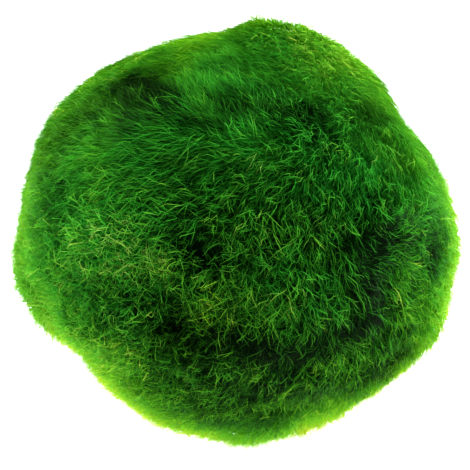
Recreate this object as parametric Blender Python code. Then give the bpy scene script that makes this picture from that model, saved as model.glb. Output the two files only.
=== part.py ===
"""Marimo moss ball: one felted ball of green algae filaments, resting on a small flat spot.

Run it with: blender --background --python part.py
Metres, +Z up. The front of the ball faces -Y. The origin is the middle of the ball's base.

The ball grew as one piece, so it is one solid. Its surface is where the tips of the coat end:
a sagged sphere with the broad lumps, hollows and combed locks that show from a step away.
"""

import math
import random
from collections import namedtuple

import bmesh
import bpy
from mathutils import Vector, noise

# ---------------------------------------------------------------- driving dimensions, in metres
BALL_WIDTH = 0.0482  # side to side, without the lumps and locks, which bring it to 50 mm
BALL_DEPTH = 0.0465  # front to back, likewise
BALL_HEIGHT = 0.0446  # before the base is pressed flat, likewise
CENTRE_HEIGHT = 0.0205  # of the ball's middle above what it stands on
SAG_SOFTNESS = 0.0010  # how softly the side turns into the flat spot
PRESSED_DEPTH = 0.0003  # the coat that the ball's weight presses flat

MM = 0.001
GRID = 28  # faces along each side of the six patches that cover the ball

UNEVEN_HEIGHT = 0.30 * MM  # the small unevenness between the named lumps
UNEVEN_SPACING = 7.5 * MM

LOCK_COUNT = 78  # combed locks that stand a little proud of the coat
LOCK_LENGTH = 9.5 * MM
LOCK_WIDTH = 3.3 * MM
LOCK_HEIGHT = 0.95 * MM
LOCK_SEED = 11

# A place on the ball is an azimuth and an elevation in degrees, seen from its middle:
# azimuth 0 is the front, 90 the right, 180 the back and -90 the left.
# A lump is higher or, below zero, deeper than the plain ball by `height` millimetres. It fades
# over `wide` degrees sideways, `up` degrees upwards and `down` degrees downwards, and `tilt`
# turns it, counter-clockwise as seen from outside.
Lump = namedtuple("Lump", "azimuth elevation height wide up down tilt")

LUMPS = [
    # the outline seen from the front and a little above
    Lump(148, 61, 1.65, 16, 14, 15, 0),  # blunt corner at the top
    Lump(103, 34, -1.75, 15, 15, 14, 0),  # flattened upper right side
    Lump(66, -16, 0.95, 18, 16, 18, 0),  # full lower right side
    Lump(-76, -3, 1.00, 15, 13, 11, 0),  # shoulder on the left
    Lump(-106, 36, 1.05, 18, 14, 14, 0),  # rounded upper left
    Lump(-139, 59, -0.60, 16, 14, 14, 0),  # shallow flat towards the back of the top
    Lump(-55, -25, -2.20, 11, 8, 9, 25),  # notch under the left shoulder
    Lump(-40, -40, 0.35, 12, 8, 9, 0),  # small roll below the notch
    Lump(12, -43, 0.75, 26, 10, 10, 0),  # full front of the base
    # the front, where the coat hangs in a fan over a hollow
    Lump(10, 11, 1.35, 19, 25, 5, -8),  # the fan, with its lower edge as a ledge
    Lump(-15, 13, -1.70, 6, 8, 6, 20),  # deep hollow left of the fan
    Lump(-11, 30, -0.70, 4, 4, 4, 0),  # small pit where the coat parts
    Lump(-3, 49, -0.55, 17, 6, 6, 0),  # parting above the fan
    Lump(39, 10, -0.80, 8, 15, 12, -30),  # trough on the right
    Lump(27, -16, -0.60, 16, 6, 8, 0),  # shade under the ledge
    Lump(-43, 21, 0.45, 12, 10, 10, 0),  # tufted swelling on the left
    Lump(-77, 70, -0.60, 12, 6, 6, 0),  # crease on the upper left
    Lump(51, 68, -0.75, 9, 7, 7, 0),  # crease on the upper right
    # the sides and the back
    Lump(180, 8, 0.90, 24, 18, 16, 0),
    Lump(-150, -12, -1.10, 13, 12, 14, 15),
    Lump(-122, -22, 0.70, 15, 14, 12, 0),
    Lump(138, -22, -0.85, 12, 14, 10, -20),
    Lump(158, 30, -0.70, 18, 7, 7, 12),
    Lump(-160, 32, 0.55, 16, 14, 12, 0),
    Lump(112, -6, 0.65, 14, 12, 12, 0),
]

# The filaments lie combed away from a few whorls. Each pushes the coat away from itself within
# `reach` degrees, and `swirl` turns that push.
Whorl = namedtuple("Whorl", "azimuth elevation reach strength swirl")

WHORLS = [
    Whorl(31, 56, 62, 1.00, 6),  # the crown, above and right of the front's middle
    Whorl(135, 68, 40, 0.80, 0),  # behind the top right
    Whorl(-11, 30, 12, 0.50, 10),  # round the small pit
    Whorl(-170, 48, 50, 0.80, -10),  # the back of the top
    Whorl(-118, 8, 30, 0.50, 18),
    Whorl(150, -8, 36, 0.65, -16),
    Whorl(0, -90, 46, 0.80, 0),  # the base, where the coat is splayed outwards
]
WHORL_CORE = 12  # degrees from a whorl's middle within which its push fades out

# Currents push the coat one way over a patch. A heading of 0 is to the right, 90 is up.
Current = namedtuple("Current", "azimuth elevation wide high heading strength")

CURRENTS = [
    Current(-42, 20, 32, 26, 180, 1.1),  # all over the left
    Current(-64, 16, 14, 14, 235, 0.9),  # down round the left side
    Current(-25, -8, 24, 14, 184, 1.2),  # left, below the hollow
    Current(-52, 54, 24, 10, 205, 0.7),  # upper left
    Current(-8, 73, 36, 9, 106, 1.2),  # over the top
    Current(60, 44, 24, 20, 226, 2.0),  # down the right side
    Current(50, 26, 12, 7, 15, 2.2),  # a parting that turns to the right
    Current(42, 14, 16, 12, 320, 0.6),  # right of the fan
    Current(5, 26, 9, 14, 288, 0.9),  # down the fan
    Current(-9, 18, 6, 8, 300, 0.7),  # into the hollow
]

MOSS_GREEN = (0.045, 0.170, 0.014, 1.0)
MOSS_ROUGHNESS = 0.85


# ---------------------------------------------------------------- places on the ball
def facing(azimuth, elevation):
    """The unit direction from the ball's middle to a place on it."""
    a = math.radians(azimuth)
    e = math.radians(elevation)
    return Vector((math.sin(a) * math.cos(e), -math.cos(a) * math.cos(e), math.sin(e)))


def sideways_and_up(direction):
    """The two directions along the surface there: to the right as seen from outside, and up."""
    side = Vector((0.0, 0.0, 1.0)).cross(direction)
    if side.length < 1e-4:
        side = Vector((1.0, 0.0, 0.0))
    side.normalize()
    return side, direction.cross(side).normalized()


def offset_from(centre, direction, axes):
    """How far a direction lies from a centre along two surface directions, in radians."""
    ahead = direction.dot(centre)
    return tuple(math.atan2(direction.dot(axis), ahead) for axis in axes)


# ---------------------------------------------------------------- broad form
def plain_radius(direction):
    """Distance from the middle to the surface of the sagged sphere."""
    half = (BALL_WIDTH / 2, BALL_DEPTH / 2, BALL_HEIGHT / 2)
    return 1.0 / math.sqrt(sum((d / h) ** 2 for d, h in zip(direction, half)))


def lump_height(lump, direction):
    """What one lump adds to the radius in a direction."""
    centre = facing(lump.azimuth, lump.elevation)
    if direction.dot(centre) < 0.3:
        return 0.0
    x, y = offset_from(centre, direction, sideways_and_up(centre))
    turn = math.radians(lump.tilt)
    across = x * math.cos(turn) + y * math.sin(turn)
    along = y * math.cos(turn) - x * math.sin(turn)
    reach = lump.up if along > 0 else lump.down
    spread = (across / math.radians(lump.wide)) ** 2 + (along / math.radians(reach)) ** 2
    return lump.height * MM * math.exp(-spread)


def unevenness(direction):
    """Low lumps all over, from a smooth noise with a fixed pattern."""
    place = direction * (BALL_WIDTH / 2 / UNEVEN_SPACING)
    return UNEVEN_HEIGHT * 2 * noise.fractal(place, 0.9, 2.0, 2)


# ---------------------------------------------------------------- combed locks
def whorl_push(whorl, direction):
    """The push of one whorl at a place."""
    centre = facing(whorl.azimuth, whorl.elevation)
    away = direction * centre.dot(direction) - centre
    if away.length < 1e-6:
        return Vector()
    away.normalize()
    turn = math.radians(whorl.swirl)
    away = away * math.cos(turn) + direction.cross(away) * math.sin(turn)
    angle = math.degrees(centre.angle(direction))
    fade = math.exp(-((angle / whorl.reach) ** 2)) * min(1.0, angle / WHORL_CORE)
    return away * whorl.strength * fade


def current_push(current, direction):
    """The push of one current at a place."""
    centre = facing(current.azimuth, current.elevation)
    if direction.dot(centre) < 0.2:
        return Vector()
    x, y = offset_from(centre, direction, sideways_and_up(centre))
    spread = (x / math.radians(current.wide)) ** 2 + (y / math.radians(current.high)) ** 2
    side, up = sideways_and_up(direction)
    heading = math.radians(current.heading)
    way = side * math.cos(heading) + up * math.sin(heading)
    return way * current.strength * math.exp(-spread)


def comb(direction):
    """The way the filaments lie at a place, along the surface: all the pushes added up."""
    flow = Vector()
    for whorl in WHORLS:
        flow += whorl_push(whorl, direction)
    for current in CURRENTS:
        flow += current_push(current, direction)
    return flow.normalized() if flow.length > 1e-6 else sideways_and_up(direction)[1]


def lock_places():
    """Evenly spaced places for the locks, each moved a little at random."""
    rng = random.Random(LOCK_SEED)
    golden = math.pi * (3 - math.sqrt(5))
    places = []
    for i in range(LOCK_COUNT):
        z = 1 - 2 * (i + 0.5) / LOCK_COUNT
        ring = math.sqrt(1 - z * z)
        place = Vector((ring * math.cos(i * golden), ring * math.sin(i * golden), z))
        place += Vector([rng.uniform(-0.12, 0.12) for _ in range(3)])
        size = rng.uniform(0.75, 1.25)
        places.append((place.normalized(), size))
    return places


def lock_shape(along, across):
    """Height of a lock, 0 to 1: it rises slowly from its root and drops quickly at its tip."""
    if not -0.5 < along < 0.5:
        return 0.0
    climb = along + 0.5
    ridge = 1.9 * climb**1.2 * (1 - climb) ** 0.45
    return ridge * math.exp(-((across / 0.5) ** 2))


def locks_height(direction, locks):
    """The highest of the locks over a place."""
    highest = 0.0
    for centre, size, axes in locks:
        if direction.dot(centre) < 0.9:
            continue
        along, across = [angle * BALL_WIDTH / 2 for angle in offset_from(centre, direction, axes)]
        shape = lock_shape(along / (LOCK_LENGTH * size), across / (LOCK_WIDTH * size))
        highest = max(highest, shape * size)
    return highest * LOCK_HEIGHT


# ---------------------------------------------------------------- the ball
def surface_point(direction, locks):
    """The point of the coat's tips in a direction, in the ball's own frame."""
    radius = plain_radius(direction) + unevenness(direction)
    radius += sum(lump_height(lump, direction) for lump in LUMPS)
    radius += locks_height(direction, locks)
    point = direction * radius
    height = point.z + CENTRE_HEIGHT
    pressed = (height + math.hypot(height, SAG_SOFTNESS)) / 2 - PRESSED_DEPTH
    point.z = max(pressed, 0.0)
    return point


def patch_direction(corner):
    """A cube's grid point as a direction, warped so that the patches' faces are alike in size."""
    return Vector([math.tan(c * math.pi / 4) for c in corner]).normalized()


def build_ball():
    """A cube cut into a grid and swelled into the ball."""
    locks = []
    for centre, size in lock_places():
        flow = comb(centre)
        locks.append((centre, size, (flow, centre.cross(flow))))

    bm = bmesh.new()
    bmesh.ops.create_cube(bm, size=2.0)
    bmesh.ops.subdivide_edges(bm, edges=bm.edges[:], cuts=GRID - 1, use_grid_fill=True)
    for vertex in bm.verts:
        vertex.co = surface_point(patch_direction(vertex.co), locks)

    low = Vector([min(v.co[i] for v in bm.verts) for i in range(3)])
    high = Vector([max(v.co[i] for v in bm.verts) for i in range(3)])
    middle = (low + high) / 2
    bmesh.ops.translate(bm, verts=bm.verts[:], vec=(-middle.x, -middle.y, -low.z))
    bmesh.ops.recalc_face_normals(bm, faces=bm.faces[:])

    mesh = bpy.data.meshes.new("moss_ball")
    bm.to_mesh(mesh)
    bm.free()
    mesh.shade_smooth()
    return mesh


def moss_material():
    material = bpy.data.materials.new("moss")
    material.use_nodes = True
    shader = material.node_tree.nodes["Principled BSDF"]
    shader.inputs["Base Color"].default_value = MOSS_GREEN
    shader.inputs["Roughness"].default_value = MOSS_ROUGHNESS
    shader.inputs["Metallic"].default_value = 0.0
    material.diffuse_color = MOSS_GREEN
    return material


def main():
    for old in list(bpy.data.objects):
        bpy.data.objects.remove(old)
    collection = bpy.data.collections.new("marimo_moss_ball")
    bpy.context.scene.collection.children.link(collection)
    ball = bpy.data.objects.new("moss_ball", build_ball())
    ball.data.materials.append(moss_material())
    collection.objects.link(ball)


main()
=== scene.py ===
# %% [markdown]
# # A marimo moss ball
# A marimo is a ball of green algae. Thousands of fine branching filaments grow outwards from a
# felted mat, and currents comb them flat against the ball. This lesson starts from a solid of
# the ball's true shape and grows that coat on it with Geometry Nodes.
#
# The solid ends about where the tips of the coat end. So the coat is grown inwards from its
# surface: a dark mat a little smaller than the solid, and filaments that reach from the mat to
# the solid, and some a little past it.

# %% Load the measured solid
import math
from collections import namedtuple

import bmesh
import bpy
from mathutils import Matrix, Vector


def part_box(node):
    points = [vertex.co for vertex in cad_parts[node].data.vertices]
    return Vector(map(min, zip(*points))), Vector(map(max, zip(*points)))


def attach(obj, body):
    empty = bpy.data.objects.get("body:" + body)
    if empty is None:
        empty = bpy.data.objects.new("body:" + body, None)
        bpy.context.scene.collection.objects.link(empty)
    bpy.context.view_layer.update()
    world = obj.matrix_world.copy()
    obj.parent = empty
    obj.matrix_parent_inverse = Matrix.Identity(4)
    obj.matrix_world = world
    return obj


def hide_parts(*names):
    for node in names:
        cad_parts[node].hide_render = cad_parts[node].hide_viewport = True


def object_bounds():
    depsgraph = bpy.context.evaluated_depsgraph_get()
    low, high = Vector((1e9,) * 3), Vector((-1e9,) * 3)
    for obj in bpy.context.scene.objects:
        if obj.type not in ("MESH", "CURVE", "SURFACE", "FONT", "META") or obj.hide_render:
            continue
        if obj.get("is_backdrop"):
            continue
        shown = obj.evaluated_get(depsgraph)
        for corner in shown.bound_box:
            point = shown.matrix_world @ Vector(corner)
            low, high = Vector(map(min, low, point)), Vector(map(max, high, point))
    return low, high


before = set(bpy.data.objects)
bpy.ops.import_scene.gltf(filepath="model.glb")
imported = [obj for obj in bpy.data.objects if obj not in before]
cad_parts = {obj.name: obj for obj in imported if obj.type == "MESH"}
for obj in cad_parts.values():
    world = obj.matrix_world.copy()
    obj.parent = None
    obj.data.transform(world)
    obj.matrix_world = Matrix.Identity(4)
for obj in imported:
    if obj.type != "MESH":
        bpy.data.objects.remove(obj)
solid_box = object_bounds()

MM = 0.001
SOLID = "moss_ball"
BODY = "root"

low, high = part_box(SOLID)
print("solid:", [round((h - l) / MM, 1) for l, h in zip(low, high)], "mm")

# %% [markdown]
# ## Where things are on the ball
# A place on a ball is easiest to name as on a globe: an azimuth round it and an elevation above
# its middle, both in degrees. Azimuth 0 is the front, 90 the right side, 180 the back and -90 the
# left.

# %% Places on the ball
MIDDLE = Vector((0, 0, 20.5 * MM))
RADIUS = 24.0 * MM
UP = Vector((0, 0, 1))
FARTHEST = 0.2  # the cosine of the angle past which two places aren't near each other at all


def facing(azimuth, elevation):
    """The unit direction from the ball's middle to a place on it."""
    a, e = math.radians(azimuth), math.radians(elevation)
    return Vector((math.sin(a) * math.cos(e), -math.cos(a) * math.cos(e), math.sin(e)))


def nearness(direction, azimuth, elevation, wide, high):
    """1 at a place and fading to 0 around it, over `wide` degrees sideways and `high` upwards."""
    centre = facing(azimuth, elevation)
    ahead = direction.dot(centre)
    if ahead < FARTHEST:
        return 0.0
    side = UP.cross(centre).normalized()
    across = math.degrees(math.atan2(direction.dot(side), ahead))
    along = math.degrees(math.atan2(direction.dot(centre.cross(side)), ahead))
    return math.exp(-((across / wide) ** 2) - (along / high) ** 2)


print("10 degrees from a place 20 wide:", round(nearness(facing(10, 0), 0, 0, 20, 20), 2))

# %% [markdown]
# ## The comb
# Hair on a head lies away from its crown, and a marimo's coat does the same, but with several
# crowns, and with streaks where moving water has pushed it one way. Whorls push the coat away
# from themselves, currents push it along a heading, and the pushes add up. That gives smooth
# partings between them without drawing every direction by hand.

# %% Whorls and currents
# azimuth, elevation, reach in degrees, strength, and swirl in degrees
WHORLS = [
    (31, 56, 62, 1.00, 6),  # the crown, above and right of the front's middle
    (138, 52, 36, 0.70, 0),  # behind the top right
    (-11, 30, 12, 0.50, 10),  # round the small pit
    (-170, 48, 50, 0.80, -10),  # the back of the top
    (-118, 8, 30, 0.50, 18),  # the left of the back
    (150, -8, 36, 0.65, -16),  # and its right
    (0, -90, 30, 0.80, 0),  # the base, where the coat is splayed outwards
]
WHORL_CORE = 12  # degrees from a whorl's middle within which its push fades out

# azimuth, elevation, degrees over which it fades sideways and upwards, heading, and strength.
# A heading of 0 is to the right, and 90 is up.
CURRENTS = [
    (-42, 20, 32, 26, 180, 1.1),  # all over the left
    (-62, 28, 16, 14, 250, 2.2),  # down round the left side
    (-72, 8, 12, 10, 150, 0.6),
    (-30, 7, 12, 7, 140, 0.9),  # left of the hollow
    (-25, -8, 24, 14, 184, 1.0),  # and below it
    (-52, 54, 24, 10, 205, 0.5),  # upper left
    (-8, 73, 36, 9, 106, 1.2),  # over the top
    (22, 66, 12, 8, 90, 1.6),
    (64, 50, 26, 15, 205, 4.5),  # down the right side
    (58, 35, 10, 6, 190, 3.0),
    (52, 24, 10, 4.5, 10, 4.0),  # a parting that turns to the right
    (42, 14, 16, 12, 320, 0.6),  # right of the fan
    (5, 26, 9, 14, 288, 0.9),  # down the fan
    (-9, 18, 6, 8, 300, 0.7),  # into the hollow
    (-10, -24, 34, 16, 215, 0.8),  # down to the base
    (28, -22, 20, 14, 262, 0.8),
    (80, 72, 26, 14, 140, 2.0),  # from behind the top, forwards
]
print(len(WHORLS), "whorls and", len(CURRENTS), "currents")

# %% The direction of the coat
TINY = 1e-6  # a vector shorter than this has no direction


def whorl_push(direction, azimuth, elevation, reach, strength, swirl):
    """The push of one whorl at a place."""
    centre = facing(azimuth, elevation)
    away = direction * centre.dot(direction) - centre
    if away.length < TINY:
        return Vector()
    away.normalize()
    turn = math.radians(swirl)
    away = away * math.cos(turn) + direction.cross(away) * math.sin(turn)
    angle = math.degrees(centre.angle(direction))
    return away * strength * math.exp(-((angle / reach) ** 2)) * min(1.0, angle / WHORL_CORE)


def current_push(direction, azimuth, elevation, wide, high, heading, strength):
    """The push of one current at a place."""
    side = UP.cross(direction)
    if side.length < TINY:
        return Vector()
    side.normalize()
    turn = math.radians(heading)
    way = side * math.cos(turn) + direction.cross(side) * math.sin(turn)
    return way * strength * nearness(direction, azimuth, elevation, wide, high)


def comb(direction):
    """All the pushes on the coat at a place, added up. The longer the sum, the tidier it lies."""
    flow = Vector()
    for whorl in WHORLS:
        flow += whorl_push(direction, *whorl)
    for current in CURRENTS:
        flow += current_push(direction, *current)
    return flow


print("comb at the front:", [round(c, 2) for c in comb(facing(0, 0))])

# %% [markdown]
# ## Pale and dark places
# Three facts make the colour of a place. Its tone says how pale it is, from 0 for nearly black to
# 1 for the palest. Its warmth says how yellow it is. Its painted shade darkens it further, and the
# lowest layer of the coat takes all of that.
#
# Part of this is growth: young filaments are pale and old ones nearly black. But part of it is the
# light and shade of the photograph that the ball was matched to. The hollow and the front are
# darkened, and the lower edge and the sides are yellower, as if lit. That helps the likeness from
# the front, and it has a price: the ball keeps that light and shade however it is turned or lit.
#
# A picture wrapped round the ball could hold these facts, but lists of places are easier to read
# and to change. Each fact starts from one value, and each patch raises or lowers it round one
# place and fades out.

# %% The tone of each place
TONE = 0.587
# Many of these patches are painted light and shade. Painted glow lies on the lower edge, the base,
# the sides and behind the top. Painted light lies on the fan and its lit lower edge. Painted shade
# lies on the front under the fan and on the top.
# azimuth, elevation, change, and degrees over which it fades sideways and upwards
TONE_PATCHES = [
    (-60, -26, 0.27, 24, 15),  # lower left
    (-42, -18, 0.08, 14, 14),
    (-30, -5, 0.22, 9, 7),
    (-62, 40, 0.08, 8, 8),
    (-18, -38, 0.10, 14, 9),
    (68, -24, 0.22, 24, 14),  # lower right
    (62, -8, 0.16, 12, 7),
    (33, -38, 0.22, 16, 9),
    (4, -47, 0.29, 60, 11),  # the front of the base
    (6, -30, -0.24, 17, 11),
    (4, -8, -0.12, 28, 10),  # the shaded front under the fan
    (-18, -22, -0.10, 14, 8),
    (46, -15, -0.28, 12, 12),
    (-70, 32, -0.16, 16, 14),
    (0, 84, -0.14, 60, 12),  # the top
    (180, 58, 0.14, 50, 14),
    (10, 68, -0.08, 50, 8),
    (-84, 8, 0.10, 18, 26),  # the left side
    (86, 3, 0.24, 17, 17),  # the right side
    (90, 50, 0.06, 18, 16),
    (62, 11, -0.30, 10, 9),
    (74, 26, -0.09, 11, 10),
    (-50, -1, 0.13, 20, 12),  # left of the hollow
    (-30, 24, 0.32, 9, 7),  # a bright tuft left of the fan
    (-36, 33, 0.12, 16, 8),
    (-52, 43, 0.08, 11, 9),
    (-26, 54, -0.06, 9, 6),
    (-18, 25, 0.24, 6, 3.5),  # a knot of pale curls above the hollow
    (-14, 12, 0.20, 8, 8),
    (-4, 18, 0.20, 5, 7),  # and one to its right
    (0, 30, 0.08, 40, 20),
    (-44, 20, 0.16, 12, 9),
    (12, 24, 0.10, 9, 6),  # the fan
    (14, 15, 0.12, 14, 3.5),  # and its lower edge
    (0, 40, 0.06, 8, 8),
    (54, 13, 0.08, 7, 9),
    (-62, 55, -0.22, 15, 8),  # the upper left
    (-28, 72, -0.20, 20, 6),
    (30, -3, 0.14, 7, 6),
    (16, -3, -0.12, 6, 5),
    (-95, 78, 0.12, 30, 7),
    (34, 69, -0.16, 16, 8),
    (41, 55, -0.22, 12, 8),  # right of the crown
    (-2, 72, 0.18, 11, 6),  # behind it
    (-52, 72, 0.08, 9, 5),
    (10, 54, 0.08, 11, 6),
    (78, 56, -0.14, 12, 8),
    (84, 66, 0.26, 26, 11),
    (180, 24, -0.17, 56, 44),  # the back
    (180, 10, -0.08, 50, 26),
    (165, -26, 0.18, 40, 14),
    (-140, 16, 0.10, 16, 12),
    (172, 34, 0.12, 12, 18),
]


def added_up(patches, direction):
    """The changes that a list of patches makes at a place, added up."""
    return sum(change * nearness(direction, a, e, w, h) for a, e, change, w, h in patches)


print("tone in the hollow:", round(TONE + added_up(TONE_PATCHES, facing(-11, 12)), 2))

# %% The warmth of each place
WARMTH = 0.25
# Much of this is painted light. The yellower lower edge, base, sides and back are a painted glow
# of light from below and behind, and the cooler fan is a painted sheen.
# azimuth, elevation, change, and degrees over which it fades
WARMTH_PATCHES = [
    (0, -24, 0.26, 75, 22),  # low on the front
    (2, -47, 0.38, 60, 11),
    (-60, -30, 0.48, 40, 22),
    (66, -28, 0.46, 40, 22),
    (-84, 14, 0.45, 16, 30),  # the left side
    (-102, 50, 0.30, 20, 22),
    (86, 10, 0.48, 20, 24),  # the right side
    (180, 58, 0.40, 60, 14),  # behind the top
    (98, 48, 0.30, 18, 20),
    (-34, 14, -0.12, 20, 12),
    (-18, 24, 0.10, 10, 6),  # the knots of curls round the hollow
    (-4, 17, 0.25, 7, 8),
    (52, 12, 0.15, 10, 16),
    (16, 20, -0.08, 12, 10),  # the fan
    (10, 4, 0.22, 34, 9),  # under it
    (0, 55, -0.10, 60, 14),
    (44, 42, -0.20, 15, 16),
    (-130, 76, 0.30, 50, 9),
    (-38, 30, -0.14, 18, 12),
    (62, 12, -0.10, 8, 10),
    (-14, 11, 0.20, 14, 8),
    (180, -20, 0.40, 70, 26),  # low on the back
]
print("warmth at the left side:", round(WARMTH + added_up(WARMTH_PATCHES, facing(-90, 10)), 2))

# %% The painted shade of each place
# All of this is painted shade. It darkens the hollow, the pit, the belt of painted shadow under
# the fan, the trough, a streak, a spot, the whole front and the back. A negative change paints
# light on the back's whorls.
PAINTED_SHADE = 0.0
# azimuth, elevation, change, and degrees over which it fades
PAINTED_SHADE_PATCHES = [
    (-13, 14, 0.32, 6, 6.5),  # the hollow left of the fan
    (-18, 6, 0.30, 6, 5),
    (-20, 15, 0.50, 3, 2.5),
    (-25, 18, 0.40, 3, 2.5),
    (2, 7, 0.40, 6, 3),
    (-9, 30, 0.80, 4, 3),  # the small pit
    (13, 7, 0.84, 19, 4.0),  # the belt under the fan
    (1, 11, 0.60, 6, 4),
    (24, 10, 0.35, 12, 6),
    (10, -10, 0.26, 34, 12),
    (35, 15, 0.70, 7, 13),  # the trough on the right
    (42, 26, 0.45, 10, 6),
    (45, -14, 0.16, 12, 8),
    (-53, 65, 0.70, 14, 3),  # a dark streak at the upper left
    (43, 62, 0.50, 6, 3.5),  # and a dark spot behind the crown
    (0, 32, 0.56, 48, 24),  # all over the front
    (-30, 8, 0.12, 24, 16),
    (0, -2, 0.16, 45, 16),
    (140, 24, 0.30, 18, 10),  # the back
    (-160, -4, 0.30, 20, 8),
    (-175, 50, -0.20, 12, 10),  # its whorls are lit
    (150, -8, -0.20, 10, 10),
]
print("gloom in the small pit:", round(PAINTED_SHADE + added_up(PAINTED_SHADE_PATCHES, facing(-9, 30)), 2))

# %% [markdown]
# ## How the coat lies
# Four more facts shape the coat. The filaments are longer on the fan and shorter in the hollow
# beside it. Long filaments crowd together on the front and thin out at the sides. The coat is
# crisp in the middle of the front, where one filament stands out from the next, and further out
# it is soft. And it is untidy where it curls. These are lists of places too, so a change to one of
# them doesn't disturb the others.

# %% The length and the crowding of each place
SHORTEST = 0.35  # as a share of the usual length
# azimuth, elevation, change of length as a share, and degrees over which it fades
LENGTH_PATCHES = [
    (10, 16, 0.25, 22, 14),  # the fan is long
    (-12, 13, -0.40, 7, 8),  # the hollow beside it is short
    (-9, 30, -0.55, 6, 5),  # and so is the small pit
    (-79, -14, -0.25, 6, 6),
    (-72, -9, -0.35, 5, 5),
    (-64, -14, 0.45, 4, 4),  # a lobe at the lower left
    (-51, -19, -0.95, 8, 6),  # and a notch below it
    (-60, -30, -0.40, 7, 5),
    (-48, -42, -0.20, 10, 9),
    (178, 57, -0.35, 8, 11),  # behind the top
    (85, 5, 0.35, 10, 13),  # the right side
    (13, -45, 0.15, 20, 8),
    (-129, 42, -0.15, 14, 14),
    (-96, 8, -0.15, 10, 10),
    (108, 24, -0.15, 12, 14),
]

SPARSEST = 0.4  # as a share of the usual crowding
# azimuth, elevation, how many more or fewer of the long filaments grow there than elsewhere, and
# degrees over which it fades
CROWDED_PATCHES = [
    (0, 22, 1.6, 62, 30),  # the front
    (0, -12, 1.2, 50, 18),
    (31, 57, 0.5, 14, 10),  # the crown
    (138, 54, 1.5, 14, 10),  # and the whorls behind it
    (-170, 48, 1.2, 12, 10),
    (150, -8, 1.2, 12, 10),
    (180, 20, 0.4, 60, 40),  # the back
    (-88, 20, -0.5, 15, 40),  # fewer at the left side,
    (88, 20, -0.5, 15, 40),  # the right side
    (0, 86, -0.5, 80, 14),  # and the top
    (-53, 65, -0.8, 14, 3),
    (43, 62, -1.0, 6, 4),
    (-11, 12, -1.5, 5, 8),  # the hollow
    (-9, 30, -2.0, 4, 3),  # the pit
    (13, 6, -1.5, 24, 4),  # the belt
    (35, 15, -1.0, 7, 13),  # the trough
]


def length_at(direction):
    """The length of the filaments at a place, as a share of the usual length."""
    return max(SHORTEST, 1 + added_up(LENGTH_PATCHES, direction))


def crowding_at(direction):
    """How many times as many long filaments as usual grow at a place."""
    return max(SPARSEST, 1 + added_up(CROWDED_PATCHES, direction))


print("length on the fan:", round(length_at(facing(10, 16)), 2))
print("crowding at the front:", round(crowding_at(facing(0, 22)), 2))

# %% The crispness and the unrest of each place
# How sharply the filaments stand out from each other and from the gaps between them. The crisper
# the coat, the deeper its painted shade at the roots and in the gaps.
CRISPNESS = 0.12
# azimuth, elevation, change, and degrees over which it fades
CRISP_PATCHES = [
    (-16, 14, 0.65, 50, 28),  # the middle of the front
    (14, 22, 0.45, 46, 26),
    (4, -6, 0.30, 40, 10),
    (-13, 15, 0.35, 14, 12),  # the curls round the hollow
    (-22, 73, 0.30, 60, 9),  # behind the crown
    (180, 12, 0.55, 52, 26),  # the back
]

# azimuth, elevation, how much more untidy the coat is there, and degrees over which it fades
UNREST_PATCHES = [
    (-50, 5, 2.6, 30, 24),  # curly all over the left
    (-14, 6, 1.8, 22, 14),  # round the hollow
    (10, -25, 1.8, 60, 16),  # the front of the base
    (0, 26, 1.0, 34, 22),  # the middle of the front
    (31, 60, 0.9, 18, 12),  # the crown
    (110, 68, 0.4, 40, 13),  # behind the crown
    (55, 20, 0.8, 14, 16),  # the right
]
TIDY = 0.8  # the push that lays the coat down tidily
UNPUSHED = 1.6  # how much more untidily it lies where nothing pushes it


def unrest_at(direction, push):
    """How many times as untidily as usual the coat lies at a place."""
    unpushed = max(0.0, 1 - push.length / TIDY)
    return 1 + added_up(UNREST_PATCHES, direction) + UNPUSHED * unpushed


print("unrest left of the front:", round(unrest_at(facing(-50, 5), comb(facing(-50, 5))), 2))

# %% [markdown]
# ## The mat
# Under the coat is the felted mat that the filaments grow from. It could be a plain ball, but then
# the coat would be thick on the lumps and thin in the hollows. So it is the solid, drawn in by the
# coat's depth and smoothed, because the solid's fine locks belong to the coat alone.

# %% Make the mat
COAT_DEPTH = 0.9 * MM
LEAST_DEPTH = 0.3 * COAT_DEPTH
MAT_SMOOTHING = 4  # times that the mat's points are moved halfway to their neighbours' middle
FLOOR_GAP = 0.25 * MM  # the mat's lowest point stays this far above the surface
JOINED = 0.001 * MM  # points nearer to each other than this are one point


def merged_copy(source, name):
    """A copy of an object's mesh with its loose triangles joined."""
    bm = bmesh.new()
    bm.from_mesh(source.data)
    bmesh.ops.remove_doubles(bm, verts=bm.verts[:], dist=JOINED)
    mesh = bpy.data.meshes.new(name)
    bm.to_mesh(mesh)
    bm.free()
    return mesh


def draw_in(mesh):
    """Moves the mesh's points inwards and evens them out, and returns how deep each one lies."""
    tips = [v.co.copy() for v in mesh.vertices]
    normals = [v.normal.copy() for v in mesh.vertices]
    bm = bmesh.new()
    bm.from_mesh(mesh)
    for vertex, normal in zip(bm.verts, normals):
        vertex.co -= normal * COAT_DEPTH
    for _ in range(MAT_SMOOTHING):
        bmesh.ops.smooth_vert(
            bm, verts=bm.verts[:], factor=0.5, use_axis_x=True, use_axis_y=True, use_axis_z=True
        )
    for vertex in bm.verts:
        vertex.co.z = max(vertex.co.z, FLOOR_GAP)
    bm.to_mesh(mesh)
    bm.free()
    return [max((tip - v.co).dot(v.normal), LEAST_DEPTH) for tip, v in zip(tips, mesh.vertices)]


mat_mesh = merged_copy(bpy.data.objects[SOLID], "mat")
depths = draw_in(mat_mesh)
mat_mesh.shade_smooth()
print("mat:", len(mat_mesh.polygons), "triangles")
print("coat:", round(min(depths) / MM, 2), "to", round(max(depths) / MM, 2), "mm deep")

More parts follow.
